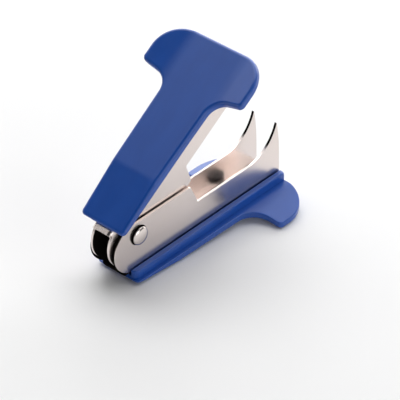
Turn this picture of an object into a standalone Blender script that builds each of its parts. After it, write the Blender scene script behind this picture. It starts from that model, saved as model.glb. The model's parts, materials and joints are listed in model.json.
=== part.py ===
"""A jaw-type staple remover: two nested steel channels with claws, hinged on one rivet, a torsion spring
that holds them open, and a T-shaped plastic grip on each.

Metres, +Z up. The object stands on its lower grip: on the tips of the head's two wings, and on the crease
across the stem. The origin lies on that plane, under the middle of the object's box. Both jaws are modelled
in the same kind of jaw frame: its origin is on the hinge axis, +X runs towards the claws, and +Z points at
the other jaw. An empty places each jaw frame.
"""

import math

import bmesh
import bpy
from mathutils import Vector

MM = 0.001

# The two jaws
OPEN_ANGLE = math.radians(33.2)  # between the two jaw frames at rest
SHEET = 0.8 * MM                 # thickness of the steel
GAP = 0.3 * MM                   # between pieces that touch
ARC_STEP = math.radians(12)      # angle between the points of an arc

LOWER = {
    "half_width": 4.75 * MM,     # of the channel, outside
    "grip_face": 15.0 * MM,      # hinge axis to the grip's outer face
    "front": 58.2 * MM,          # hinge axis to the claws' front edge
    "low_line": -2.1 * MM,       # height of the wall between ear and claw
    "ear_centre": (-1.8 * MM, -3.4 * MM),
    "ear_radius": 7.7 * MM,
    "ear_front": (23.9 * MM, 21.1 * MM),  # at the low line and at the ear's top
    "tail_end": -5.5 * MM,       # rear end of the web
    "claw_centre": 44.8 * MM,    # centre of the claw's inner arc, along the jaw
    "claw_radius": 13.0 * MM,
    "claw_tip": 7.0 * MM,        # height of the tip
    "wing_back": 43.5 * MM,      # rear edge of the grip's wings, along the jaw
    "neck_radius": 7.0 * MM,
    "nose_radius": 10.5 * MM,    # of the grip's two front corners
    "rail_overhang": 0.8 * MM,   # the grip's rail stands this far past the plate in front
    "peg_head": 2.8 * MM,        # radius of the head of the peg that holds the grip on
}
UPPER = {
    "half_width": LOWER["half_width"] - SHEET - 0.4 * MM,
    "grip_face": 12.66 * MM,
    "front": 55.9 * MM,
    "low_line": 1.9 * MM,
    "ear_centre": (-2.5 * MM, -0.3 * MM),
    "ear_radius": 8.2 * MM,
    "ear_front": (23.5 * MM, 21.9 * MM),
    "tail_end": -5.9 * MM,
    "claw_centre": 46.2 * MM,
    "claw_radius": 9.0 * MM,
    "claw_tip": 8.8 * MM,
    "wing_back": 41.5 * MM,
    "neck_radius": 5.0 * MM,
    "nose_radius": 9.6 * MM,
    "rail_overhang": -0.3 * MM,
    "peg_head": 2.4 * MM,
}

# The channels, measured from the outer face of the grip where they lie in it
WEB_RISE = 3.3 * MM              # grip face to the outer face of the web
TAIL_RELIEF = 0.4 * MM           # from the channel's side to the side of the web's tail
BEND_RADIUS = 1.3 * MM           # outer radius of the two bends
CLAW_FRONT_RADIUS = 55.0 * MM
CLAW_FRONT_START = 10.0 * MM     # the front edge starts to curve this far below the tip
PEG_X = 44.3 * MM                # the peg that holds the grip on the web

# The grips
GRIP_REAR = -4.2 * MM
CREASE_X = 13.0 * MM             # behind this line the outer face slopes to the steel
REAR_DROP = 1.64 * MM            # how far it has sloped at the rear end
PLATE = 2.4 * MM                 # thickness of the plate
STEM_HALF_REAR = 8.0 * MM
STEM_HALF_NECK = 8.8 * MM
REAR_CORNER_RADIUS = 1.4 * MM
NECK_RAKE = 1.3 * MM             # the wings' rear edges rake forwards this much
WING_HALF = 18.4 * MM
WING_CORNER_RADIUS = 1.5 * MM
WING_CREASE = 9.8 * MM           # the wings tilt away from the steel outside these lines
WING_SLOPE = 0.225               # how steeply they tilt
WING_SOFTNESS = 0.9 * MM         # half the width of the crease's curve
RAIL_HALF = 6.85 * MM            # of the raised rail that holds the channel
RAIL_TOP = 5.0 * MM
RAIL_CORNER_RADIUS = 1.4 * MM
RAIL_REAR_INSET = 0.3 * MM       # the rail's rear end stands back from the plate's
OUTER_EDGE = 1.0 * MM            # rounding of the outer face's edges
INNER_EDGE = 0.1 * MM
EDGE_STEPS = 3                   # faces around the outer face's rounding
PEG_HEAD_LIP = 0.8 * MM          # from the peg's shaft to the edge of its head
PEG_HEAD_HEIGHT = 0.9 * MM

# The hinge
PIN_RADIUS = 1.5 * MM
RIVET_HEAD_RADIUS = 2.85 * MM
RIVET_RIM = 0.25 * MM            # straight rim under the dome
RIVET_DOME = 1.05 * MM
WIRE_RADIUS = 0.45 * MM
COIL_RADIUS = 2.6 * MM           # to the middle of the wire
COIL_PITCH = 1.15 * MM
COIL_TURNS = 3
LEG_REACH = 15.0 * MM            # along the jaw to where a leg meets its web
LEG_FOOT = 3.0 * MM              # length of leg that lies along the web

# The stand: the lower jaw tips up until the wing tips and the stem's crease touch the same plane.
WING_TIP_DROP = 1.695 * MM       # the wing tips reach this far below the stem's outer face
STAND_ANGLE = math.atan2(WING_TIP_DROP, LOWER["wing_back"] + 1 * MM - CREASE_X)
HINGE_X = -24.56 * MM            # the upper ear and the lower grip are the two ends of the object's box
HINGE_Z = LOWER["grip_face"] * math.cos(STAND_ANGLE) - CREASE_X * math.sin(STAND_ANGLE)

BLUE_PLASTIC = (0.022, 0.07, 0.27)
NICKEL = (0.72, 0.69, 0.67)
SPRING_STEEL = (0.06, 0.06, 0.065)


def clear_scene():
    for item in list(bpy.data.objects):
        bpy.data.objects.remove(item, do_unlink=True)


def material(name, colour, metallic, roughness):
    made = bpy.data.materials.new(name)
    made.use_nodes = True
    shader = made.node_tree.nodes["Principled BSDF"]
    shader.inputs["Base Color"].default_value = (*colour, 1.0)
    shader.inputs["Metallic"].default_value = metallic
    shader.inputs["Roughness"].default_value = roughness
    return made


def web_outer(jaw):
    """Height of the web's outer face in the jaw frame."""
    return WEB_RISE - jaw["grip_face"]


def peg_shaft(jaw):
    """Radius of the peg's shaft, which the hole in the web clears by the gap."""
    return jaw["peg_head"] - PEG_HEAD_LIP


def arc(centre, radius, start, end):
    """Points of an arc, both ends included, from angle start to angle end."""
    steps = max(2, math.ceil(abs(end - start) / ARC_STEP - 0.01))
    angles = [start + (end - start) * i / steps for i in range(steps + 1)]
    return [(centre[0] + radius * math.cos(a), centre[1] + radius * math.sin(a)) for a in angles]


def rounded(corners):
    """A closed outline from (x, y, radius) corners, with an arc at each corner that has a radius."""
    outline = []
    for i, (x, y, radius) in enumerate(corners):
        corner = Vector((x, y))
        to_last = (Vector(corners[i - 1][:2]) - corner).normalized()
        to_next = (Vector(corners[(i + 1) % len(corners)][:2]) - corner).normalized()
        if radius == 0:
            outline.append((x, y))
            continue
        half = to_last.angle(to_next) / 2
        centre = corner + (to_last + to_next).normalized() * (radius / math.sin(half))
        ends = [corner + side * (radius / math.tan(half)) - centre for side in (to_last, to_next)]
        start, end = (math.atan2(p.y, p.x) for p in ends)
        sweep = (end - start + math.pi) % math.tau - math.pi
        outline += arc(centre, radius, start, start + sweep)
    return outline


def offset(corners, grow):
    """The corners of an anticlockwise outline whose sides all lie grow further out."""
    moved = []
    for i, (x, y, radius) in enumerate(corners):
        corner = Vector((x, y))
        before = (corner - Vector(corners[i - 1][:2])).normalized()
        after = (Vector(corners[(i + 1) % len(corners)][:2]) - corner).normalized()
        outward = Vector((before.y + after.y, -before.x - after.x)) / (1 + before.dot(after))
        if radius:
            radius += grow if before.cross(after) > 0 else -grow
        moved.append((*(corner + outward * grow), radius))
    return moved


def extruded(name, outline, place, depth):
    """A closed solid: place turns an outline point into a 3-D point, and depth is the extrusion."""
    mesh = bpy.data.meshes.new(name)
    built = bmesh.new()
    face = built.faces.new([built.verts.new(place(*point)) for point in outline])
    grown = bmesh.ops.extrude_face_region(built, geom=[face])["geom"]
    moved = [v for v in grown if isinstance(v, bmesh.types.BMVert)]
    bmesh.ops.translate(built, verts=moved, vec=depth)
    bmesh.ops.recalc_face_normals(built, faces=built.faces)
    built.to_mesh(mesh)
    built.free()
    item = bpy.data.objects.new(name, mesh)
    bpy.context.collection.objects.link(item)
    return item


def turned(name, profile, axis_x=0.0, axis_z=0.0, steps=24):
    """A solid turned about a line along Y, from (radius, y) points that start and end on the axis."""
    mesh = bpy.data.meshes.new(name)
    built = bmesh.new()
    poles = [built.verts.new((axis_x, profile[i][1], axis_z)) for i in (0, -1)]
    rings = []
    for radius, y in profile[1:-1]:
        turns = [math.tau * i / steps for i in range(steps)]
        rings.append([built.verts.new((axis_x + radius * math.cos(t), y, axis_z + radius * math.sin(t)))
                      for t in turns])
    for low, high in zip(rings, rings[1:]):
        for i in range(steps):
            j = (i + 1) % steps
            built.faces.new((low[i], low[j], high[j], high[i]))
    for pole, ring in zip(poles, (rings[0], rings[-1])):
        for i in range(steps):
            built.faces.new((pole, ring[i], ring[(i + 1) % steps]))
    bmesh.ops.recalc_face_normals(built, faces=built.faces)
    built.to_mesh(mesh)
    built.free()
    item = bpy.data.objects.new(name, mesh)
    bpy.context.collection.objects.link(item)
    return item


def combine(target, other, operation):
    """Applies a Boolean of other to target's mesh and removes other."""
    modifier = target.modifiers.new(operation, "BOOLEAN")
    modifier.operation = operation
    modifier.solver = "EXACT"
    modifier.object = other
    shape = target.evaluated_get(bpy.context.evaluated_depsgraph_get())
    mesh = bpy.data.meshes.new_from_object(shape)
    target.modifiers.clear()
    target.data = mesh
    bpy.data.objects.remove(other, do_unlink=True)


def finish(item, name, look, parent):
    item.name = name
    item.data.name = name
    item.data.materials.clear()
    item.data.materials.append(look)
    item.parent = parent
    item.data.shade_smooth()
    item.data.set_sharp_from_angle(angle=math.radians(35))
    return item


def channel_section(jaw):
    """The U of the channel across the jaw: outline in (y, z), taller than the highest claw."""
    half, bottom = jaw["half_width"], web_outer(jaw)
    top = jaw["claw_tip"] + 2 * MM
    inside = half - SHEET
    return rounded([
        (-half, bottom, BEND_RADIUS), (half, bottom, BEND_RADIUS), (half, top, 0), (inside, top, 0),
        (inside, bottom + SHEET, BEND_RADIUS - SHEET), (-inside, bottom + SHEET, BEND_RADIUS - SHEET),
        (-inside, top, 0), (-half, top, 0),
    ])


def wall_outline(jaw):
    """The side view of a wall in (x, z): round ear behind, low line, claw in front."""
    below = web_outer(jaw) - 1 * MM
    ear_centre, ear_radius = jaw["ear_centre"], jaw["ear_radius"]
    outline = arc(ear_centre, ear_radius, math.radians(250), math.radians(90))
    low, top = jaw["low_line"], ear_centre[1] + ear_radius
    base_x, top_x = jaw["ear_front"]
    outline += [(top_x - 0.6 * MM, top), (top_x, top - 0.5 * MM), (base_x - 0.3 * MM, low + 0.6 * MM)]
    outline += [(base_x + 0.5 * MM, low)]
    # The claw's inner edge is an arc that leaves the low line smoothly and ends at the tip.
    radius, tip = jaw["claw_radius"], jaw["claw_tip"]
    centre = (jaw["claw_centre"], low + radius)
    outline += arc(centre, radius, math.radians(-90), math.asin((tip - centre[1]) / radius))
    tip_x = outline[-1][0]
    front, start = jaw["front"], tip - CLAW_FRONT_START
    centre = (front - CLAW_FRONT_RADIUS, start)
    end = math.asin((tip - 0.4 * MM - start) / CLAW_FRONT_RADIUS)
    edge = arc(centre, CLAW_FRONT_RADIUS, end, 0.0)
    outline += [point for point in edge if point[0] > tip_x]
    outline += [(front, below), (outline[0][0], below)]
    return outline


def make_jaw(name, jaw, look, parent):
    """One stamped channel: its U section cut to the side view, with a tail, a hinge hole and a peg hole."""
    half = jaw["half_width"]
    item = extruded(name, channel_section(jaw), lambda y, z: (-0.02, y, z), (0.09, 0, 0))
    side = extruded("side", wall_outline(jaw), lambda x, z: (x, -2 * half, z), (0, 4 * half, 0))
    bottom, tail = web_outer(jaw), half - TAIL_RELIEF
    tail_box = extruded(
        "tail", [(-tail, bottom - 1.5 * MM), (tail, bottom - 1.5 * MM), (tail, bottom + 3 * MM),
                 (-tail, bottom + 3 * MM)],
        lambda y, z: (jaw["tail_end"], y, z), (12 * MM, 0, 0))
    combine(side, tail_box, "UNION")
    combine(item, side, "INTERSECT")
    hole = [(0, -2 * half), (PIN_RADIUS + GAP, -2 * half), (PIN_RADIUS + GAP, 2 * half), (0, 2 * half)]
    combine(item, turned("hinge_hole", hole), "DIFFERENCE")
    circle = arc((PEG_X, 0), peg_shaft(jaw) + GAP, 0, math.tau)[:-1]
    drill = extruded("drill", circle, lambda x, y: (x, y, bottom - 2 * MM), (0, 0, 5 * MM))
    combine(item, drill, "DIFFERENCE")
    return finish(item, name, look, parent)


def grip_corners(jaw):
    """Corners of the grip's plan: a stem that widens a little to the neck, and a T head."""
    front = jaw["front"] - 0.1 * MM
    neck = jaw["wing_back"] - NECK_RAKE
    crease = STEM_HALF_REAR + (STEM_HALF_NECK - STEM_HALF_REAR) * (CREASE_X - GRIP_REAR) / (
        neck - GRIP_REAR)
    side = [
        (GRIP_REAR, STEM_HALF_REAR, REAR_CORNER_RADIUS), (CREASE_X, crease, 0),
        (neck, STEM_HALF_NECK, jaw["neck_radius"]),
        (jaw["wing_back"], WING_HALF, WING_CORNER_RADIUS),
        (front, WING_HALF, jaw["nose_radius"]),
    ]
    return [(x, -y, r) for x, y, r in side] + side[::-1]


def outer_face(x):
    """Height of the outer face above the resting plane: level, then sloping behind the crease."""
    return REAR_DROP * max(0.0, CREASE_X - x) / (CREASE_X - GRIP_REAR)


def wing_drop(y):
    """How far the wings have tilted away from the steel at a distance y from the middle."""
    past = abs(y) - WING_CREASE
    if past < WING_SOFTNESS:
        return WING_SLOPE * max(0.0, past + WING_SOFTNESS) ** 2 / (4 * WING_SOFTNESS)
    return WING_SLOPE * past


def plate_height(x, level):
    """Height above the resting plane: level is (0, up from the outer face) or (1, down from the inner)."""
    side, distance = level
    if side == 1:
        return PLATE - distance
    thickness = PLATE - outer_face(x)
    return outer_face(x) + distance * min(1.0, 0.6 * thickness / OUTER_EDGE)


def make_plate(jaw):
    """The T plate: a crease across its outer face, rounded edges, and tilted wings."""
    base, corners = -jaw["grip_face"], grip_corners(jaw)
    levels = []
    for step in range(EDGE_STEPS + 1):
        turn = math.radians(90) * step / EDGE_STEPS
        levels.append((OUTER_EDGE * (math.sin(turn) - 1), (0, OUTER_EDGE * (1 - math.cos(turn)))))
    levels += [(0, (1, INNER_EDGE)), (-INNER_EDGE, (1, 0))]
    built = bmesh.new()
    rings = []
    for grow, level in levels:
        outline = rounded(offset(corners, grow))
        rings.append([built.verts.new((x, y, base + plate_height(x, level))) for x, y in outline])
    count = len(rings[0])
    for low, high in zip(rings, rings[1:]):
        for i in range(count):
            j = (i + 1) % count
            built.faces.new((low[i], low[j], high[j], high[i]))
    built.faces.new(rings[-1])
    first, last = sorted(sorted(range(count), key=lambda i: abs(rings[0][i].co.x - CREASE_X))[:2])
    built.faces.new(rings[0][first:last + 1])
    built.faces.new(rings[0][last:] + rings[0][:first + 1])
    bmesh.ops.recalc_face_normals(built, faces=built.faces)
    for side in (-1, 1):
        for step in (-1, -0.3, 0.3, 1):
            cut = (0, side * (WING_CREASE + step * WING_SOFTNESS), 0)
            bmesh.ops.bisect_plane(built, geom=[*built.verts, *built.edges, *built.faces],
                                   plane_co=cut, plane_no=(0, 1, 0))
    for vertex in built.verts:
        vertex.co.z -= wing_drop(vertex.co.y)
    bmesh.ops.triangulate(built, faces=built.faces)
    mesh = bpy.data.meshes.new("plate")
    built.to_mesh(mesh)
    built.free()
    item = bpy.data.objects.new("plate", mesh)
    bpy.context.collection.objects.link(item)
    return item


def make_grip(name, jaw, look, parent):
    """One grip: plate, raised rail with a groove for the channel, and the peg that holds the web."""
    base = -jaw["grip_face"]
    rear, front = GRIP_REAR + RAIL_REAR_INSET, jaw["front"] - 0.1 * MM + jaw["rail_overhang"]
    item = make_plate(jaw)
    plan = rounded([
        (x, side * RAIL_HALF, RAIL_CORNER_RADIUS)
        for x, side in ((rear, -1), (front, -1), (front, 1), (rear, 1))
    ])
    rise = RAIL_TOP - REAR_DROP - 0.3 * MM
    rail = extruded("rail", plan, lambda x, y: (x, y, base + RAIL_TOP - rise), (0, 0, rise))
    combine(item, rail, "UNION")
    groove_half, floor = jaw["half_width"] + GAP, base + WEB_RISE - GAP
    groove = extruded(
        "groove", [(-groove_half, floor), (groove_half, floor), (groove_half, floor + 9 * MM),
                   (-groove_half, floor + 9 * MM)],
        lambda y, z: (GRIP_REAR - 5 * MM, y, z), (0.08, 0, 0))
    combine(item, groove, "DIFFERENCE")
    web_inner = base + WEB_RISE + SHEET
    shaft, head = peg_shaft(jaw), jaw["peg_head"]
    top = web_inner + GAP + PEG_HEAD_HEIGHT
    profile = [(0, floor - 1 * MM), (shaft, floor - 1 * MM), (shaft, web_inner + GAP),
               (head, web_inner + GAP), (head, top - 0.4 * MM), (head - 0.7 * MM, top), (0, top)]
    peg = turned("peg", profile, steps=20)
    for vertex in peg.data.vertices:
        x, y, z = vertex.co
        vertex.co = (PEG_X + x, -z, y)
    combine(item, peg, "UNION")
    return finish(item, name, look, parent)


def make_rivet(name, look, parent):
    """The hinge pin, with a domed head on each side."""
    face = LOWER["half_width"] + GAP
    dome = [(RIVET_HEAD_RADIUS * math.cos(a), face + RIVET_RIM + RIVET_DOME * math.sin(a))
            for a in (math.radians(d) for d in (0, 25, 50, 72))]
    side = [(PIN_RADIUS, face), (RIVET_HEAD_RADIUS, face), *dome, (0, face + RIVET_RIM + RIVET_DOME)]
    profile = [(r, -y) for r, y in reversed(side)] + side
    return finish(turned(name, profile), name, look, parent)


def leg_points(target, foot, side):
    """Leg of the spring in (x, z): leaves the coil on a tangent, reaches the target, runs on to the foot."""
    distance = math.hypot(*target)
    angle = math.atan2(target[1], target[0]) + side * math.acos(COIL_RADIUS / distance)
    return angle, [target, foot]


def make_spring(name, look, parent):
    """A torsion spring on the pin, one leg against each web."""
    lift = SHEET + GAP + WIRE_RADIUS
    low_z = web_outer(LOWER) + lift
    high_z = web_outer(UPPER) + lift
    turn_x, turn_z = math.cos(OPEN_ANGLE), math.sin(OPEN_ANGLE)

    def from_upper(x, z):
        return (x * turn_x + z * turn_z, x * turn_z - z * turn_x)

    low_angle, low_leg = leg_points((LEG_REACH, low_z), (LEG_REACH + LEG_FOOT, low_z), -1)
    high_angle, high_leg = leg_points(
        from_upper(LEG_REACH, high_z), from_upper(LEG_REACH + LEG_FOOT, high_z), 1)
    sweep = math.tau * COIL_TURNS + (high_angle - low_angle) % math.tau
    steps = round(sweep / math.radians(20))
    start_y = -COIL_PITCH * sweep / math.tau / 2
    coil = []
    for i in range(steps + 1):
        angle = low_angle + sweep * i / steps
        y = start_y + COIL_PITCH * sweep / math.tau * i / steps
        coil.append((COIL_RADIUS * math.cos(angle), y, COIL_RADIUS * math.sin(angle)))
    points = [(x, start_y, z) for x, z in reversed(low_leg)] + coil
    points += [(x, -start_y, z) for x, z in high_leg]
    curve = bpy.data.curves.new(name, "CURVE")
    curve.dimensions = "3D"
    curve.bevel_depth = WIRE_RADIUS
    curve.bevel_resolution = 2
    curve.use_fill_caps = True
    spline = curve.splines.new("POLY")
    spline.points.add(len(points) - 1)
    for point, place in zip(spline.points, points):
        point.co = (*place, 1.0)
    curve.materials.append(look)
    item = bpy.data.objects.new(name, curve)
    bpy.context.collection.objects.link(item)
    item.parent = parent
    return item


def jaw_frame(name, rotation):
    frame = bpy.data.objects.new(name, None)
    frame.location = (HINGE_X, 0, HINGE_Z)
    frame.rotation_euler = rotation
    bpy.context.collection.objects.link(frame)
    return frame


def main():
    clear_scene()
    plastic = material("blue_plastic", BLUE_PLASTIC, 0.0, 0.35)
    nickel = material("nickel_plated_steel", NICKEL, 1.0, 0.22)
    wire = material("spring_steel", SPRING_STEEL, 1.0, 0.4)
    lower_frame = jaw_frame("lower_jaw_frame", (0, -STAND_ANGLE, 0))
    upper_frame = jaw_frame("upper_jaw_frame", (math.pi, -STAND_ANGLE - OPEN_ANGLE, 0))
    make_jaw("lower_jaw", LOWER, nickel, lower_frame)
    make_jaw("upper_jaw", UPPER, nickel, upper_frame)
    make_grip("lower_cover", LOWER, plastic, lower_frame)
    make_grip("upper_cover", UPPER, plastic, upper_frame)
    make_rivet("hinge_rivet", nickel, lower_frame)
    make_spring("torsion_spring", wire, lower_frame)


main()
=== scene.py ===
"""The looks of the staple remover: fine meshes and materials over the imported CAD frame, and a plain studio.

Metres, +Z up, in the CAD frame. Each piece stands for the CAD node of the same shape, with the roundings,
the domed rivet and the smooth wire that the CAD leaves faceted. Both jaws are modelled in the same kind of
jaw frame: its origin is on the hinge axis, +X runs towards the claws, and +Z points at the other jaw.
"""

import functools
import json
import math

import bmesh
import bpy
from mathutils import Matrix, Vector


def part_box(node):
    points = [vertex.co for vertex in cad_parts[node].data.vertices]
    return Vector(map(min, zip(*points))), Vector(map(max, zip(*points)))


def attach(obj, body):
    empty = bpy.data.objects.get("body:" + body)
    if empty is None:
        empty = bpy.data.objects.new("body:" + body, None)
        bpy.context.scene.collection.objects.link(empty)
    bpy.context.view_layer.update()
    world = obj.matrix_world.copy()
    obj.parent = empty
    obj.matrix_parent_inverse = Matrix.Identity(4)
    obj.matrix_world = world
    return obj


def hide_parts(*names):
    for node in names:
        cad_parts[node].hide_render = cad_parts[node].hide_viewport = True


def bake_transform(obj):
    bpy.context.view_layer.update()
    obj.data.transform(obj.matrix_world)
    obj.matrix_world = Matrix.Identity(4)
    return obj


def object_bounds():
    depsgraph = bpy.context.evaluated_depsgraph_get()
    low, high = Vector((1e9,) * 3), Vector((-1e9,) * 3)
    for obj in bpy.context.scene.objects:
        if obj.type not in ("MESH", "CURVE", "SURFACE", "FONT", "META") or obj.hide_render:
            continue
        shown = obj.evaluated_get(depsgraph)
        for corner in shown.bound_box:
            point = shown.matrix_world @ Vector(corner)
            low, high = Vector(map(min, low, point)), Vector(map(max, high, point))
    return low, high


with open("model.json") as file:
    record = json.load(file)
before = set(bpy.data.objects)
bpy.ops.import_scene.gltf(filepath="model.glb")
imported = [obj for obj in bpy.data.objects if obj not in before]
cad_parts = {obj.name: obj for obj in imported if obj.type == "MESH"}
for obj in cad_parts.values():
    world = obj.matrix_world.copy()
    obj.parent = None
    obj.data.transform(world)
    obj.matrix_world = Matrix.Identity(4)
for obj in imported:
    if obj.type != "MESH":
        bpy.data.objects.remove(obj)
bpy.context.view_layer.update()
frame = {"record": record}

MM = 0.001
QUARTER = math.pi / 2

# The hinge and the tilt of the lower jaw come from the record: the lower grip's face is its one mount.
HINGE = Vector(frame["record"]["behaviour"]["joints"][0]["pos_m"])
FACE_NORMAL = frame["record"]["mounts"][0]["axis"]
STAND_ANGLE = math.atan2(FACE_NORMAL[0], -FACE_NORMAL[2])
OPEN_ANGLE = math.radians(33.2)  # between the two jaw frames at rest

# The two jaws
SHEET = 0.8 * MM                 # thickness of the steel
GAP = 0.3 * MM                   # between pieces that touch
ARC_STEP = math.radians(4)       # angle between the points of an arc
LOWER_HALF_WIDTH = (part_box("lower_jaw")[1].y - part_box("lower_jaw")[0].y) / 2
UPPER_HALF_WIDTH = (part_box("upper_jaw")[1].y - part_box("upper_jaw")[0].y) / 2
WING_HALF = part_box("lower_cover")[1].y

LOWER = {
    "half_width": LOWER_HALF_WIDTH,
    "grip_face": 15.0 * MM,      # hinge axis to the grip's outer face
    "front": 58.2 * MM,          # hinge axis to the claws' front edge
    "low_line": -2.1 * MM,       # height of the wall between ear and claw
    "ear_centre": (-1.8 * MM, -3.4 * MM),
    "ear_radius": 7.7 * MM,
    "ear_front": (23.9 * MM, 21.1 * MM),  # at the low line and at the ear's top
    "tail_end": -5.5 * MM,       # rear end of the web
    "claw_centre": 44.8 * MM,    # centre of the claw's inner arc, along the jaw
    "claw_radius": 13.0 * MM,
    "claw_tip": 7.0 * MM,        # height of the tip
    "wing_back": 43.5 * MM,      # rear edge of the grip's wings, along the jaw
    "neck_radius": 7.0 * MM,
    "nose_radius": 10.5 * MM,    # of the grip's two front corners
    "rail_overhang": 0.8 * MM,   # the grip's rail stands this far past the plate in front
    "peg_head": 2.8 * MM,        # radius of the head of the peg that holds the grip on
    "black_rear_edge": True,     # whether the cut edge round the back of the channel is painted black, as painted shade
}
UPPER = {
    "half_width": UPPER_HALF_WIDTH,
    "grip_face": 12.66 * MM,
    "front": 55.9 * MM,
    "low_line": 1.9 * MM,
    "ear_centre": (-2.5 * MM, -0.3 * MM),
    "ear_radius": 8.2 * MM,
    "ear_front": (23.5 * MM, 21.9 * MM),
    "tail_end": -5.9 * MM,
    "claw_centre": 46.2 * MM,
    "claw_radius": 9.0 * MM,
    "claw_tip": 8.8 * MM,
    "wing_back": 41.5 * MM,
    "neck_radius": 5.0 * MM,
    "nose_radius": 9.6 * MM,
    "rail_overhang": -0.3 * MM,
    "peg_head": 2.4 * MM,
    "black_rear_edge": False,
}

# The channels
WEB_RISE = 3.3 * MM              # grip's outer face to the outer face of the web
TAIL_RELIEF = 0.4 * MM           # from the channel's side to the side of the web's tail
TAIL_HEIGHT = 3.0 * MM           # of the tail, with the strip of each wall that it keeps
TAIL_LENGTH = 12.0 * MM          # of the tail's block, most of it between the ears
BEND_RADIUS = 1.3 * MM           # outer radius of the two bends
CLAW_FRONT_RADIUS = 55.0 * MM
CLAW_FRONT_START = 10.0 * MM     # the front edge starts to curve this far below the tip
CLAW_FRONT_END = 0.4 * MM        # and stops this far below it
EAR_START = math.radians(250)    # where the ear's round begins, near the web
EAR_CORNER_RADIUS = 0.6 * MM
BLANK_REAR = -20.0 * MM          # the straight channel that each jaw is cut from
BLANK_LENGTH = 90.0 * MM
BLANK_MARGIN = 2.0 * MM          # from the claw's tip to the top of its walls
CUTTER_MARGIN = 1.0 * MM         # cutters reach at least this far past what they cut
PEG_X = 44.3 * MM                # the peg that holds the grip on the web
CUT_EDGE = 0.05 * MM             # the stamping's edges are barely broken

# The grips
GRIP_REAR = -4.2 * MM
FRONT_INSET = 0.1 * MM           # the grip ends this far behind the claws' front edge
CREASE_X = 13.0 * MM             # behind this line the outer face slopes to the steel
CREASE_SOFTNESS = 0.8 * MM       # half the length of the crease's curve
REAR_DROP = 1.64 * MM            # how far it has sloped at the rear end
PLATE = 2.4 * MM                 # thickness of the plate
STEM_HALF_REAR = 8.0 * MM
STEM_HALF_NECK = 8.8 * MM
REAR_CORNER_RADIUS = 1.4 * MM
NECK_RAKE = 1.3 * MM             # the wings' rear edges rake forwards this much
WING_CORNER_RADIUS = 1.5 * MM
WING_CREASE = 9.8 * MM           # the wings tilt away from the steel outside these lines
WING_SLOPE = 0.225               # how steeply they tilt
WING_SOFTNESS = 2.0 * MM         # half the width of the crease's curve
RAIL_HALF = 6.85 * MM            # of the raised rail that holds the channel
RAIL_TOP = 5.0 * MM
RAIL_CORNER_RADIUS = 1.4 * MM
RAIL_REAR_INSET = 0.3 * MM       # the rail's rear end stands back from the plate's
RAIL_ROOT = 0.3 * MM             # height of the rail's foot above the outer face at the rear end
RAIL_EDGE = 0.45 * MM            # rounding along the top of the rail
RAIL_NOSE = 1.3 * MM             # rounding of the rail's top at its front end
GROOVE_EDGE = 0.2 * MM           # rounding along the top of the groove
GROOVE_MARGIN = 5.0 * MM         # the groove's cutter reaches this far past the rail
OUTER_EDGE = 1.0 * MM            # rounding of the outer face's edges
EDGE_SHARE = 0.6                 # of the plate's thickness that this rounding takes where the plate is thin
INNER_EDGE = 0.25 * MM
EDGE_STEPS = 8                   # faces around a rounding
PEG_HEAD_LIP = 0.8 * MM          # from the peg's shaft to the edge of its head
PEG_HEAD_HEIGHT = 0.9 * MM
PEG_EDGE = 0.5 * MM              # rounding of the head
PEG_ROOT = 1.0 * MM              # the shaft starts this far inside the rail

# The hinge
PIN_RADIUS = 1.5 * MM
RIVET_HEAD_RADIUS = 2.85 * MM
RIVET_FOOT_EDGE = 0.12 * MM      # bevel under the head
RIVET_RIM = 0.25 * MM            # straight rim under the dome
RIVET_DOME = 1.05 * MM
WIRE_RADIUS = 0.45 * MM
COIL_RADIUS = 2.6 * MM           # to the middle of the wire
COIL_PITCH = 1.15 * MM
COIL_TURNS = 3
COIL_STEP = math.radians(8)      # angle between the points of the coil
LEG_REACH = 15.0 * MM            # along the jaw to where a leg meets its web
LEG_FOOT = 3.0 * MM              # length of leg that lies along the web

# Where the steel is painted black, as painted shade
HINGE_SHADE_MARGIN = 1.0 * MM         # painted shade inside the channel, this far past the round of the ears
HINGE_SHADE_FADE = 1.5 * MM           # and it fades over this distance
RIVET_SHADOW = 0.20 * MM                 # painted shadow round the rivet's head, this far out
RIVET_SHADOW_END = 0.30 * MM             # and it has gone at this distance
DOME_BLACK = 0.1                 # share of the dome's height up to which it is painted black as shade
DOME_CLEAN = 0.3                 # and from which it is clean
REAR_BRIGHT = 0.25 * MM          # the rear cut edge stays bright this far in from its right side
CLAW_SHADE_REACH = 5.8 * MM           # painted shade on the claws' inner edges, this far down from the tip
CLAW_SHADE_FADE = 1.0 * MM


# ---- shapes ----

def arc(centre, radius, start, end):
    """Points of an arc, both ends included, from angle start to angle end."""
    steps = max(3, math.ceil(abs(end - start) / ARC_STEP - 0.01))
    angles = [start + (end - start) * i / steps for i in range(steps + 1)]
    return [(centre[0] + radius * math.cos(a), centre[1] + radius * math.sin(a)) for a in angles]


def corner_arc(last, corner, following, radius):
    """The points that round a corner of an outline, tangent to both of its sides."""
    corner = Vector(corner)
    to_last = (Vector(last) - corner).normalized()
    to_next = (Vector(following) - corner).normalized()
    half = to_last.angle(to_next) / 2
    centre = corner + (to_last + to_next).normalized() * (radius / math.sin(half))
    ends = [corner + side * (radius / math.tan(half)) - centre for side in (to_last, to_next)]
    start, end = (math.atan2(p.y, p.x) for p in ends)
    sweep = (end - start + math.pi) % math.tau - math.pi
    return arc(centre, radius, start, start + sweep)


def rounded(corners):
    """A closed outline from (x, y, radius) corners, with an arc at each corner that has a radius."""
    outline = []
    for i, (x, y, radius) in enumerate(corners):
        if radius == 0:
            outline.append((x, y))
        else:
            outline += corner_arc(corners[i - 1][:2], (x, y), corners[(i + 1) % len(corners)][:2], radius)
    return outline


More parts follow.
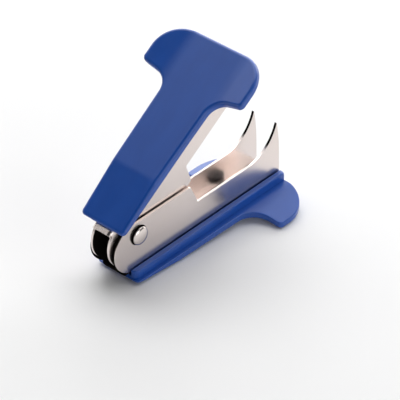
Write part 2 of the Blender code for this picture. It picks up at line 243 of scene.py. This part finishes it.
def offset(corners, grow):
    """The corners of an anticlockwise outline whose sides all lie grow further out."""
    moved = []
    for i, (x, y, radius) in enumerate(corners):
        corner = Vector((x, y))
        before = (corner - Vector(corners[i - 1][:2])).normalized()
        after = (Vector(corners[(i + 1) % len(corners)][:2]) - corner).normalized()
        outward = Vector((before.y + after.y, -before.x - after.x)) / (1 + before.dot(after))
        if radius:
            radius += grow if before.cross(after) > 0 else -grow
        moved.append((*(corner + outward * grow), radius))
    return moved


def edge_levels(radius):
    """(inset, depth) down a quarter-round edge, from the face it belongs to."""
    turns = [QUARTER * step / EDGE_STEPS for step in range(EDGE_STEPS + 1)]
    return [(radius * (1 - math.sin(turn)), radius * (1 - math.cos(turn))) for turn in turns]


def lofted(rings):
    """A closed solid, as a bmesh, through rings of points with a flat cap at each end."""
    built = bmesh.new()
    loops = [[built.verts.new(point) for point in ring] for ring in rings]
    count = len(loops[0])
    for low, high in zip(loops, loops[1:]):
        for i in range(count):
            j = (i + 1) % count
            built.faces.new((low[i], low[j], high[j], high[i]))
    built.faces.new(loops[0])
    built.faces.new(loops[-1])
    bmesh.ops.recalc_face_normals(built, faces=built.faces)
    return built


def as_object(name, built):
    mesh = bpy.data.meshes.new(name)
    built.to_mesh(mesh)
    built.free()
    item = bpy.data.objects.new(name, mesh)
    bpy.context.collection.objects.link(item)
    return item


def extruded(name, outline, place, depth):
    """A closed solid: place turns an outline point into a 3-D point, and depth is the extrusion."""
    base = [Vector(place(*point)) for point in outline]
    return as_object(name, lofted([base, [point + Vector(depth) for point in base]]))


def turned(name, profile, place, steps=72):
    """A solid turned about an axis, from (radius, height) points; place sets a point in space."""
    turns = [math.tau * i / steps for i in range(steps)]
    rings = [[place(r * math.cos(t), r * math.sin(t), h) for t in turns] for r, h in profile]
    return as_object(name, lofted(rings))


def combine(target, other, operation):
    """Applies a Boolean of other to target's mesh and removes other."""
    modifier = target.modifiers.new(operation, "BOOLEAN")
    modifier.operation = operation
    modifier.solver = "EXACT"
    modifier.object = other
    shape = target.evaluated_get(bpy.context.evaluated_depsgraph_get())
    mesh = bpy.data.meshes.new_from_object(shape)
    target.modifiers.clear()
    target.data = mesh
    bpy.data.objects.remove(other, do_unlink=True)


def shade(item, sharp_degrees):
    """Smooth shading that keeps flat faces flat."""
    item.data.shade_smooth()
    item.data.set_sharp_from_angle(angle=math.radians(sharp_degrees))
    weighted = item.modifiers.new("flat_faces", "WEIGHTED_NORMAL")
    weighted.keep_sharp = True
    weighted.weight = 100


def finish(item, name, look, body, matrix):
    """Names a piece, gives it its material, sets it in its jaw frame, and stands it for its CAD node."""
    item.name = name + "_look"
    item.data.name = item.name
    item.data.materials.clear()
    item.data.materials.append(look)
    item.data.transform(matrix)
    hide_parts(name)
    if body:
        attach(item, body)
    return item


# ---- jaws ----

def web_outer(jaw):
    """Height of the web's outer face in the jaw frame."""
    return WEB_RISE - jaw["grip_face"]


def peg_shaft(jaw):
    """Radius of the peg's shaft, which the hole in the web clears by the gap."""
    return jaw["peg_head"] - PEG_HEAD_LIP


def channel_section(jaw):
    """The U of the channel across the jaw: outline in (y, z), taller than the highest claw."""
    half, bottom = jaw["half_width"], web_outer(jaw)
    top = jaw["claw_tip"] + BLANK_MARGIN
    inside = half - SHEET
    return rounded([
        (-half, bottom, BEND_RADIUS), (half, bottom, BEND_RADIUS), (half, top, 0), (inside, top, 0),
        (inside, bottom + SHEET, BEND_RADIUS - SHEET), (-inside, bottom + SHEET, BEND_RADIUS - SHEET),
        (-inside, top, 0), (-half, top, 0),
    ])


def claw_outline(jaw):
    """The claw in (x, z): an inner arc that leaves the low line smoothly, and a front edge that curves."""
    radius, tip = jaw["claw_radius"], jaw["claw_tip"]
    middle = jaw["low_line"] + radius
    inner = arc((jaw["claw_centre"], middle), radius, -QUARTER, math.asin((tip - middle) / radius))
    start = tip - CLAW_FRONT_START
    end = math.asin((tip - CLAW_FRONT_END - start) / CLAW_FRONT_RADIUS)
    outer = arc((jaw["front"] - CLAW_FRONT_RADIUS, start), CLAW_FRONT_RADIUS, end, 0.0)
    tip_x = inner[-1][0]
    return inner + [point for point in outer if point[0] > tip_x]


def wall_outline(jaw):
    """The side view of a wall in (x, z): round ear behind, low line, claw in front."""
    below = web_outer(jaw) - CUTTER_MARGIN
    (ear_x, ear_z), radius = jaw["ear_centre"], jaw["ear_radius"]
    low, top = jaw["low_line"], ear_z + radius
    base_x, top_x = jaw["ear_front"]
    outline = arc((ear_x, ear_z), radius, EAR_START, QUARTER)
    outline += corner_arc((ear_x, top), (top_x, top), (base_x, low), EAR_CORNER_RADIUS)
    outline += corner_arc((top_x, top), (base_x, low), (jaw["claw_centre"], low), EAR_CORNER_RADIUS)
    outline += claw_outline(jaw)
    outline += [(jaw["front"], below), (outline[0][0], below)]
    return outline


def side_cutter(jaw):
    """What a jaw keeps of its straight channel: the walls' side view, and the narrower tail of the web."""
    half, bottom = jaw["half_width"], web_outer(jaw)
    side = extruded("side", wall_outline(jaw), lambda x, z: (x, -2 * half, z), (0, 4 * half, 0))
    width, foot, top = half - TAIL_RELIEF, bottom - 1.5 * CUTTER_MARGIN, bottom + TAIL_HEIGHT
    section = [(-width, foot), (width, foot), (width, top), (-width, top)]
    tail = extruded("tail", section, lambda y, z: (jaw["tail_end"], y, z), (TAIL_LENGTH, 0, 0))
    combine(side, tail, "UNION")
    return side


def make_jaw(name, jaw, look, body, matrix):
    """One stamped channel: its U section cut to the side view, with a hinge hole and a peg hole."""
    half, bottom = jaw["half_width"], web_outer(jaw)
    item = extruded(name, channel_section(jaw), lambda y, z: (BLANK_REAR, y, z), (BLANK_LENGTH, 0, 0))
    combine(item, side_cutter(jaw), "INTERSECT")
    hole = [(PIN_RADIUS + GAP, -2 * half), (PIN_RADIUS + GAP, 2 * half)]
    combine(item, turned("hinge_hole", hole, lambda x, z, y: (x, y, z)), "DIFFERENCE")
    radius = peg_shaft(jaw) + GAP
    drill = [(radius, bottom - 2 * CUTTER_MARGIN), (radius, bottom + SHEET + 2 * CUTTER_MARGIN)]
    combine(item, turned("drill", drill, lambda x, y, z: (PEG_X + x, y, z)), "DIFFERENCE")
    edges = item.modifiers.new("cut_edges", "BEVEL")
    edges.width = CUT_EDGE
    edges.segments = 2
    edges.limit_method = "ANGLE"
    edges.angle_limit = math.radians(40)
    edges.use_clamp_overlap = False
    shade(item, 50)
    return finish(item, name, look, body, matrix)


# ---- grips ----

def grip_front(jaw):
    """Where the grip's plate ends in front."""
    return jaw["front"] - FRONT_INSET


def grip_corners(jaw):
    """Corners of the grip's plan: a stem that widens a little to the neck, and a T head."""
    side = [
        (GRIP_REAR, STEM_HALF_REAR, REAR_CORNER_RADIUS),
        (jaw["wing_back"] - NECK_RAKE, STEM_HALF_NECK, jaw["neck_radius"]),
        (jaw["wing_back"], WING_HALF, WING_CORNER_RADIUS),
        (grip_front(jaw), WING_HALF, jaw["nose_radius"]),
    ]
    return [(x, -y, r) for x, y, r in side] + side[::-1]


def outer_face(x):
    """Height of the outer face above the resting plane: level, then sloping behind a soft crease."""
    slope = REAR_DROP / (CREASE_X - GRIP_REAR)
    past = CREASE_X - x
    if abs(past) < CREASE_SOFTNESS:
        return slope * (past + CREASE_SOFTNESS) ** 2 / (4 * CREASE_SOFTNESS)
    return slope * max(0.0, past)


def wing_drop(y):
    """How far the wings have tilted away from the steel at a distance y from the middle."""
    past = abs(y) - WING_CREASE
    if past < WING_SOFTNESS:
        return WING_SLOPE * max(0.0, past + WING_SOFTNESS) ** 2 / (4 * WING_SOFTNESS)
    return WING_SLOPE * past


def plate_height(x, flat):
    """Height of a point of the plate, from its height on a flat plate: the outer half follows the slope."""
    if flat > PLATE / 2:
        return flat
    squeeze = min(1.0, EDGE_SHARE * (PLATE - outer_face(x)) / OUTER_EDGE)
    return outer_face(x) + flat * squeeze


def make_plate(jaw):
    """The T plate: a crease across its outer face, rounded edges, and tilted wings."""
    corners = grip_corners(jaw)
    levels = [(-inset, depth) for inset, depth in edge_levels(OUTER_EDGE)]
    levels += [(-inset, PLATE - depth) for inset, depth in reversed(edge_levels(INNER_EDGE))]
    built = lofted([[(x, y, z) for x, y in rounded(offset(corners, grow))] for grow, z in levels])
    cuts = [((CREASE_X + step * CREASE_SOFTNESS / 4, 0, 0), (1, 0, 0)) for step in range(-4, 5)]
    cuts += [((0, side * (WING_CREASE + step * WING_SOFTNESS / 4), 0), (0, 1, 0))
             for side in (-1, 1) for step in range(-4, 5)]
    for place, normal in cuts:
        whole = [*built.verts, *built.edges, *built.faces]
        bmesh.ops.bisect_plane(built, geom=whole, plane_co=place, plane_no=normal)
    for vertex in built.verts:
        x, y, z = vertex.co
        vertex.co.z = plate_height(x, z) - wing_drop(y) - jaw["grip_face"]
    return as_object("plate", built)


def rounded_inset(height, radius):
    """How far a rounded edge has drawn in at a height, when the rounding ends at height zero."""
    below = min(radius, -height)
    return radius - math.sqrt(radius ** 2 - (radius - below) ** 2)


def make_rail(jaw):
    """The raised rail, with rounded corners, a rounded top edge and a rounder nose."""
    base = -jaw["grip_face"]
    rear, front = GRIP_REAR + RAIL_REAR_INSET, grip_front(jaw) + jaw["rail_overhang"]
    rings = []
    heights = [REAR_DROP + RAIL_ROOT - RAIL_TOP]
    heights += [-depth for _, depth in reversed(edge_levels(RAIL_NOSE))]
    heights += [-depth for _, depth in reversed(edge_levels(RAIL_EDGE))]
    for height in sorted(set(heights)):
        side = RAIL_HALF - rounded_inset(height, RAIL_EDGE)
        back, nose = rear + rounded_inset(height, RAIL_EDGE), front - rounded_inset(height, RAIL_NOSE)
        radius = RAIL_CORNER_RADIUS - rounded_inset(height, RAIL_EDGE)
        corners = [(back, -side, radius), (nose, -side, radius), (nose, side, radius), (back, side, radius)]
        rings.append([(x, y, base + RAIL_TOP + height) for x, y in rounded(corners)])
    return as_object("rail", lofted(rings))


def make_groove(jaw):
    """What the channel's groove takes out of the rail, flared so that the groove's edges are rounded."""
    base = -jaw["grip_face"]
    half, floor, top = jaw["half_width"] + GAP, base + WEB_RISE - GAP, base + RAIL_TOP
    side = [(half, floor)]
    side += [(half + GROOVE_EDGE * (1 - math.cos(turn)), top - GROOVE_EDGE * (1 - math.sin(turn)))
             for turn in (QUARTER * step / EDGE_STEPS for step in range(EDGE_STEPS + 1))]
    side += [(half + GROOVE_EDGE, top + GROOVE_MARGIN)]
    outline = side + [(-y, z) for y, z in reversed(side)]
    start, end = GRIP_REAR - GROOVE_MARGIN, jaw["front"] + GROOVE_MARGIN
    return extruded("groove", outline, lambda y, z: (start, y, z), (end - start, 0, 0))


def make_peg(jaw):
    """The moulded peg whose head holds the web down."""
    floor = WEB_RISE - GAP - jaw["grip_face"]
    seat = WEB_RISE + SHEET + GAP - jaw["grip_face"]
    shaft, head, top = peg_shaft(jaw), jaw["peg_head"], seat + PEG_HEAD_HEIGHT
    profile = [(shaft, floor - PEG_ROOT), (shaft, seat), (head, seat)]
    profile += [(head - inset, top - depth) for inset, depth in reversed(edge_levels(PEG_EDGE))]
    return turned("peg", profile, lambda x, y, z: (PEG_X + x, y, z))


def make_grip(name, jaw, look, body, matrix):
    """One grip: plate, raised rail with a groove for the channel, and the peg that holds the web."""
    item = make_plate(jaw)
    combine(item, make_rail(jaw), "UNION")
    combine(item, make_groove(jaw), "DIFFERENCE")
    combine(item, make_peg(jaw), "UNION")
    shade(item, 40)
    return finish(item, name, look, body, matrix)


# ---- hinge ----

def make_rivet(name, look, body, matrix):
    """The hinge pin, with a domed head on each side."""
    face = LOWER["half_width"] + GAP
    side = [(PIN_RADIUS, face), (RIVET_HEAD_RADIUS - RIVET_FOOT_EDGE, face)]
    side += [(RIVET_HEAD_RADIUS, face + RIVET_FOOT_EDGE)]
    side += [(RIVET_HEAD_RADIUS * math.cos(a), face + RIVET_RIM + RIVET_DOME * math.sin(a))
             for a in (math.radians(d) for d in range(0, 90, 5))]
    profile = [(r, -y) for r, y in reversed(side)] + side
    item = turned(name, profile, lambda x, z, y: (x, y, z))
    shade(item, 50)
    return finish(item, name, look, body, matrix)


def leg_angle(target, side):
    """Where on the coil a leg leaves on a tangent to reach the target."""
    return math.atan2(target[1], target[0]) + side * math.acos(COIL_RADIUS / math.hypot(*target))


def leg_points(jaw, upper):
    """The two ends, in the lower jaw's (x, z), of the foot of leg that lies along a jaw's web."""
    z = web_outer(jaw) + SHEET + GAP + WIRE_RADIUS
    foot = [(LEG_REACH, z), (LEG_REACH + LEG_FOOT, z)]
    if not upper:
        return foot
    cosine, sine = math.cos(OPEN_ANGLE), math.sin(OPEN_ANGLE)
    return [(x * cosine + z * sine, x * sine - z * cosine) for x, z in foot]


def spring_path():
    """The wire's middle line, and how far the coil reaches to each side."""
    low_leg, high_leg = leg_points(LOWER, False), leg_points(UPPER, True)
    low_angle, high_angle = leg_angle(low_leg[0], -1), leg_angle(high_leg[0], 1)
    sweep = math.tau * COIL_TURNS + (high_angle - low_angle) % math.tau
    steps = round(sweep / COIL_STEP)
    end_y = COIL_PITCH * sweep / math.tau / 2
    points = [(x, -end_y, z) for x, z in reversed(low_leg)]
    for i in range(steps + 1):
        angle = low_angle + sweep * i / steps
        y = end_y * (2 * i / steps - 1)
        points.append((COIL_RADIUS * math.cos(angle), y, COIL_RADIUS * math.sin(angle)))
    points += [(x, end_y, z) for x, z in high_leg]
    return points, end_y


def swept_wire(name, points):
    """A round wire along a path, closed at both ends."""
    curve = bpy.data.curves.new(name, "CURVE")
    curve.dimensions = "3D"
    curve.bevel_depth = WIRE_RADIUS
    curve.bevel_resolution = 5
    curve.use_fill_caps = True
    spline = curve.splines.new("POLY")
    spline.points.add(len(points) - 1)
    for point, place in zip(spline.points, points):
        point.co = (*place, 1.0)
    path = bpy.data.objects.new("path", curve)
    bpy.context.collection.objects.link(path)
    bpy.context.view_layer.update()
    mesh = bpy.data.meshes.new_from_object(path.evaluated_get(bpy.context.evaluated_depsgraph_get()))
    bpy.data.objects.remove(path, do_unlink=True)
    item = bpy.data.objects.new(name, mesh)
    bpy.context.collection.objects.link(item)
    return item


def make_spring(name, look, matrix):
    """A torsion spring on the pin, one leg against each web."""
    points, end_y = spring_path()
    item = swept_wire(name, points)
    finish(item, name, look, None, matrix)
    item.data.shade_smooth()
    item.data.set_sharp_from_angle(angle=math.radians(60))
    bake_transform(item)


# ---- materials ----

class Look:
    """A material under construction: its nodes are added and joined by name."""

    def __init__(self, name, tilt=0.0, roll=0.0):
        self.material = bpy.data.materials.new(name)
        self.material.use_nodes = True
        self.nodes = self.material.node_tree.nodes
        self.links = self.material.node_tree.links
        self.shader = self.nodes["Principled BSDF"]
        coordinates = self.nodes.new("ShaderNodeTexCoord").outputs["Object"]
        turn = self.nodes.new("ShaderNodeMapping")
        turn.vector_type = "TEXTURE"
        turn.inputs["Location"].default_value = HINGE
        turn.inputs["Rotation"].default_value = (roll, -tilt, 0)
        self.links.new(coordinates, turn.inputs["Vector"])
        self.place = turn.outputs["Vector"]

    def noise(self, scale, detail=2.0, stretch=(1, 1, 1)):
        """Noise over the piece, in features per metre along each axis of its jaw frame."""
        mapping = self.nodes.new("ShaderNodeMapping")
        mapping.inputs["Scale"].default_value = stretch
        self.links.new(self.place, mapping.inputs["Vector"])
        texture = self.nodes.new("ShaderNodeTexNoise")
        texture.inputs["Scale"].default_value = scale
        texture.inputs["Detail"].default_value = detail
        self.links.new(mapping.outputs["Vector"], texture.inputs["Vector"])
        return texture.outputs["Fac"]

    def ramp(self, source, low, high, start=0.35, end=0.65):
        """Colours or greys between low and high as the source goes from start to end."""
        node = self.nodes.new("ShaderNodeValToRGB")
        node.color_ramp.elements[0].position = start
        node.color_ramp.elements[1].position = end
        node.color_ramp.elements[0].color = (*low, 1)
        node.color_ramp.elements[1].color = (*high, 1)
        self.links.new(source, node.inputs["Fac"])
        return node.outputs["Color"]

    def spread(self, source, low, high):
        """Numbers between low and high as the source goes over the middle of its range."""
        node = self.nodes.new("ShaderNodeMapRange")
        node.inputs["From Min"].default_value = 0.3
        node.inputs["From Max"].default_value = 0.7
        node.inputs["To Min"].default_value = low
        node.inputs["To Max"].default_value = high
        self.links.new(source, node.inputs["Value"])
        return node.outputs["Result"]

    def bump(self, source, depth, under=None):
        """Bump of this depth in metres, over another bump if there is one."""
        node = self.nodes.new("ShaderNodeBump")
        node.inputs["Strength"].default_value = 1.0
        node.inputs["Distance"].default_value = depth
        self.links.new(source, node.inputs["Height"])
        if under:
            self.links.new(under, node.inputs["Normal"])
        return node.outputs["Normal"]

    def math(self, operation, *sources):
        """A Math node on sockets and numbers."""
        node = self.nodes.new("ShaderNodeMath")
        node.operation = operation
        for source, socket in zip(sources, node.inputs):
            if isinstance(source, float):
                socket.default_value = source
            else:
                self.links.new(source, socket)
        return node.outputs["Value"]

    def all_of(self, masks):
        """One where every mask is one."""
        return functools.reduce(lambda one, other: self.math("MULTIPLY", one, other), masks)

    def any_of(self, masks):
        """One where any mask is one."""
        return functools.reduce(lambda one, other: self.math("MAXIMUM", one, other), masks)

    def coordinate(self, axis):
        """X, Y or Z in the jaw frame."""
        node = self.nodes.new("ShaderNodeSeparateXYZ")
        self.links.new(self.place, node.inputs["Vector"])
        return node.outputs[axis]

    def distance(self, centre):
        """Distance in the jaw frame from the line along Y through an (x, z) centre."""
        away = [self.math("SUBTRACT", self.coordinate(axis), middle) for axis, middle in zip("XZ", centre)]
        squares = [self.math("MULTIPLY", part, part) for part in away]
        return self.math("SQRT", self.math("ADD", *squares))

    def fade(self, source, one, zero):
        """One where the source is at one, and zero from where it is at zero."""
        node = self.nodes.new("ShaderNodeMapRange")
        node.interpolation_type = "SMOOTHSTEP"
        node.inputs["From Min"].default_value = zero
        node.inputs["From Max"].default_value = one
        self.links.new(source, node.inputs["Value"])
        return node.outputs["Result"]

    def mixed(self, share, colour, other):
        """A colour that gives way to another where share is one."""
        node = self.nodes.new("ShaderNodeMix")
        node.data_type = "RGBA"
        self.links.new(share, node.inputs["Factor"])
        self.links.new(colour, node.inputs[6])
        node.inputs[7].default_value = (*other, 1)
        return node.outputs[2]

    def join(self, source, socket):
        self.links.new(source, self.shader.inputs[socket])


def moulded_plastic(name, tilt, roll, jaw):
    """Navy blue plastic, satin gloss, with faint flow marks and mould grain. The peg's head is painted
    near-black as painted shade.
    """
    look = Look(name, tilt, roll)
    flow = look.noise(90, 3, (1, 2.5, 1))
    blue = look.ramp(flow, (0.008, 0.069, 0.352), (0.0095, 0.076, 0.380))
    # painted shade: the peg's head, inside the channel, is near-black
    look.join(look.mixed(in_channel(look, jaw), blue, (0.008, 0.009, 0.018)), "Base Color")
    look.join(look.spread(look.noise(160, 1), 0.28, 0.33), "Roughness")
    waves = look.bump(look.noise(60, 0), 0.00001)
    look.join(look.bump(look.noise(5000, 1), 0.0000004, waves), "Normal")
    return look.material


def nickel_plate(look, black, roughness_low, roughness_high):
    """Bright nickel with faint haze and rolling grain, painted black where the black mask is one: painted
    shade.
    """
    haze = look.noise(220, 4)
    nickel = look.ramp(haze, (0.759, 0.683, 0.648), (0.776, 0.697, 0.662))
    look.join(look.mixed(black, nickel, (0.008, 0.007, 0.006)), "Base Color")
    bright = look.math("SUBTRACT", 1.0, black)
    look.join(bright, "Metallic")
    look.join(bright, "Specular IOR Level")
    look.join(look.spread(haze, roughness_low, roughness_high), "Roughness")
    waves = look.bump(look.noise(120, 0), 0.0000015)
    look.join(look.bump(look.noise(2600, 2, (0.06, 1, 1)), 0.0000003, waves), "Normal")
    return look.material


def in_channel(look, jaw):
    """One on the faces inside the channel, and zero on its outside and its cut edges."""
    across = look.math("ABSOLUTE", look.coordinate("Y"))
    between = look.math("LESS_THAN", across, jaw["half_width"] - SHEET + CUT_EDGE)
    above = look.math("GREATER_THAN", look.coordinate("Z"), web_outer(jaw) + SHEET - CUT_EDGE)
    return look.all_of([between, above])


def rear_edge(look, jaw):
    """One on the cut edge round the back of the channel, which is painted black as painted shade, except a
    bright line along its right side.
    """
    (x, z), radius = jaw["ear_centre"], jaw["ear_radius"] - CUT_EDGE
    within = [
        look.math("LESS_THAN", look.coordinate("X"), x),
        look.math("GREATER_THAN", look.distance((x, z)), radius),
        look.math("GREATER_THAN", look.coordinate("Y"), REAR_BRIGHT - jaw["half_width"]),
        look.math("GREATER_THAN", look.coordinate("Z"), web_outer(jaw) + CUT_EDGE),
    ]
    return look.all_of(within)


def claw_edge_shade(look, jaw):
    """One on the upper part of the claw's inner cut edge, which is painted black as painted shade."""
    radius, tip = jaw["claw_radius"], jaw["claw_tip"]
    from_centre = look.distance((jaw["claw_centre"], jaw["low_line"] + radius))
    on_edge = look.fade(from_centre, radius + CUT_EDGE / 2, radius + CUT_EDGE)
    near_tip = look.fade(look.coordinate("Z"), tip - CLAW_SHADE_REACH, tip - CLAW_SHADE_REACH - CLAW_SHADE_FADE)
    return look.all_of([on_edge, near_tip])


def jaw_steel(name, tilt, roll, jaw):
    """Nickel plate, painted black inside the hinge, round the rivet and on the claws' inner edges: painted
    shade.
    """
    look = Look(name, tilt, roll)
    # painted shade inside the hinge, over the channel's inner faces round the ears
    reach = jaw["ear_radius"] + HINGE_SHADE_MARGIN
    near_hinge = look.fade(look.distance(jaw["ear_centre"]), reach, reach + HINGE_SHADE_FADE)
    hinge_shade = look.all_of([in_channel(look, jaw), near_hinge])
    # painted shadow on the wall round the rivet's head
    from_pin = look.distance((0.0, 0.0))
    rivet_shadow = look.fade(from_pin, RIVET_HEAD_RADIUS + RIVET_SHADOW, RIVET_HEAD_RADIUS + RIVET_SHADOW_END)
    black = look.any_of([hinge_shade, rivet_shadow, claw_edge_shade(look, jaw)])
    if jaw["black_rear_edge"]:
        black = look.any_of([black, rear_edge(look, jaw)])
    return nickel_plate(look, black, 0.24, 0.26)


def rivet_steel():
    """Polished nickel plate, painted black round the foot of each dome as painted shade."""
    look = Look("rivet_steel", STAND_ANGLE)
    across = look.math("ABSOLUTE", look.coordinate("Y"))
    rim = LOWER["half_width"] + GAP + RIVET_RIM
    # painted shade round the rim and foot of the dome
    black = look.fade(across, rim + RIVET_DOME * DOME_BLACK, rim + RIVET_DOME * DOME_CLEAN)
    return nickel_plate(look, black, 0.16, 0.18)


def black_wire():
    """Black-oxide spring wire, near-black so that it also serves as painted shade inside the hinge: die lines
    along it, and small rubbed patches.
    """
    look = Look("spring_wire")
    rubbed = look.noise(900, 4)
    look.join(look.ramp(rubbed, (0.012, 0.012, 0.013), (0.03, 0.029, 0.028), 0.45, 0.75), "Base Color")
    look.shader.inputs["Metallic"].default_value = 0.8
    look.join(look.spread(rubbed, 0.38, 0.5), "Roughness")
    look.join(look.bump(look.noise(5000, 2, (1, 0.2, 1)), 0.000003), "Normal")
    return look.material


def pale_floor():
    """A matt white sheet."""
    look = Look("floor")
    look.join(look.ramp(look.noise(6, 2), (0.84, 0.84, 0.84), (0.86, 0.86, 0.86)), "Base Color")
    look.shader.inputs["Roughness"].default_value = 0.9
    return look.material


# ---- studio ----

FLOOR_RADIUS = 4.0
FLOOR_THICKNESS = 0.02
HORIZON = 0.8                    # radiance of the world round the horizon
CEILING = 0.03                   # and above it
HORIZON_TOP = math.radians(5)    # elevation where the horizon starts to fade
CEILING_START = math.radians(12)
PANEL_DISTANCE = 1.5
PANELS = {                       # azimuth, elevation, width, height, radiance
    "right_panel": (20, 20, 1.8, 1.0, 3.9),
    "low_back_panel": (60, 15, 1.4, 0.7, 1.6),
    "back_panel": (80, 36, 1.2, 1.1, 1.6),
    "crown_panel": (105, 56, 1.0, 0.5, 1.0),
    "top_panel": (32, 68, 1.6, 1.1, 2.3),
    "high_front_panel": (315, 45, 0.9, 0.7, 1.5),
    "front_panel": (262, 20, 1.2, 0.9, 1.7),
}
CAMERA_AZIMUTH = math.radians(-46.32)
CAMERA_ELEVATION = math.radians(37.17)
CAMERA_ROLL = math.radians(-1.47)
CAMERA_DISTANCE = 0.7
CAMERA_RIGHT = 20.29 * MM        # the camera's offset from the line through the hinge
CAMERA_UP = 7.67 * MM
FOCAL_LENGTH = 228.7             # mm
SENSOR_WIDTH = 36.0              # mm
CLIP_START = 0.01


def add_floor():
    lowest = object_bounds()[0][2]
    sheet = [(FLOOR_RADIUS, lowest - FLOOR_THICKNESS), (FLOOR_RADIUS, lowest)]
    disc = turned("floor", sheet, lambda x, y, z: (x, y, z))
    disc.data.materials.append(pale_floor())


def add_panel(name, azimuth, elevation, width, height, radiance):
    """A soft light panel that faces the object. Azimuth is from +X towards +Y, in degrees."""
    light = bpy.data.lights.new(name, "AREA")
    light.shape = "RECTANGLE"
    light.size = width
    light.size_y = height
    light.energy = radiance * math.pi * width * height
    lamp = bpy.data.objects.new(name, light)
    turn, rise = math.radians(azimuth), math.radians(elevation)
    towards = Vector((math.cos(turn) * math.cos(rise), math.sin(turn) * math.cos(rise), math.sin(rise)))
    lamp.location = towards * PANEL_DISTANCE
    lamp.rotation_euler = towards.to_track_quat("Z", "Y").to_euler()
    lamp.visible_camera = False
    bpy.context.collection.objects.link(lamp)


def add_world():
    """A pale horizon that fades to a dim ceiling."""
    world = bpy.data.worlds.new("studio")
    world.use_nodes = True
    nodes, links = world.node_tree.nodes, world.node_tree.links
    split = nodes.new("ShaderNodeSeparateXYZ")
    links.new(nodes.new("ShaderNodeTexCoord").outputs["Generated"], split.inputs["Vector"])
    fade = nodes.new("ShaderNodeMapRange")
    fade.interpolation_type = "SMOOTHSTEP"
    fade.inputs["From Min"].default_value = math.sin(HORIZON_TOP)
    fade.inputs["From Max"].default_value = math.sin(CEILING_START)
    fade.inputs["To Min"].default_value = HORIZON
    fade.inputs["To Max"].default_value = CEILING
    links.new(split.outputs["Z"], fade.inputs["Value"])
    links.new(fade.outputs["Result"], nodes["Background"].inputs["Strength"])
    nodes["Background"].inputs["Color"].default_value = (1.0, 1.0, 1.0, 1.0)
    bpy.context.scene.world = world


def add_camera(jaw_frame):
    """The camera is set out in the lower jaw's frame: it looks at the hinge end from behind and above."""
    level = math.cos(CAMERA_ELEVATION)
    back = Vector((math.sin(CAMERA_AZIMUTH) * level, -math.cos(CAMERA_AZIMUTH) * level,
                   math.sin(CAMERA_ELEVATION)))
    level_right = Vector((0, 0, 1)).cross(back).normalized()
    right = Matrix.Rotation(CAMERA_ROLL, 3, back) @ level_right
    up = back.cross(right)
    place = back * CAMERA_DISTANCE + right * CAMERA_RIGHT + up * CAMERA_UP
    matrix = Matrix((right, up, back)).transposed().to_4x4()
    matrix.translation = place
    data = bpy.data.cameras.new("camera")
    data.lens = FOCAL_LENGTH
    data.sensor_width = SENSOR_WIDTH
    data.clip_start = CLIP_START
    camera = bpy.data.objects.new("camera", data)
    camera.matrix_world = jaw_frame @ matrix
    bpy.context.collection.objects.link(camera)
    bpy.context.scene.camera = camera


def main():
    upper_tilt = STAND_ANGLE + OPEN_ANGLE
    lower_plastic = moulded_plastic("lower_plastic", STAND_ANGLE, 0.0, LOWER)
    upper_plastic = moulded_plastic("upper_plastic", upper_tilt, math.pi, UPPER)
    lower_steel = jaw_steel("lower_steel", STAND_ANGLE, 0.0, LOWER)
    upper_steel = jaw_steel("upper_steel", upper_tilt, math.pi, UPPER)
    lower_frame = Matrix.Translation(HINGE) @ Matrix.Rotation(-STAND_ANGLE, 4, "Y")
    upper_frame = lower_frame @ Matrix.Rotation(-OPEN_ANGLE, 4, "Y") @ Matrix.Rotation(math.pi, 4, "X")
    make_jaw("lower_jaw", LOWER, lower_steel, "lower", lower_frame)
    make_jaw("upper_jaw", UPPER, upper_steel, "upper", upper_frame)
    make_grip("lower_cover", LOWER, lower_plastic, "lower", lower_frame)
    make_grip("upper_cover", UPPER, upper_plastic, "upper", upper_frame)
    make_rivet("hinge_rivet", rivet_steel(), "lower", lower_frame)
    make_spring("torsion_spring", black_wire(), lower_frame)

    add_floor()
    add_world()
    for name, values in PANELS.items():
        add_panel(name, *values)
    add_camera(lower_frame)
    bpy.context.scene.view_settings.view_transform = "Standard"


main()
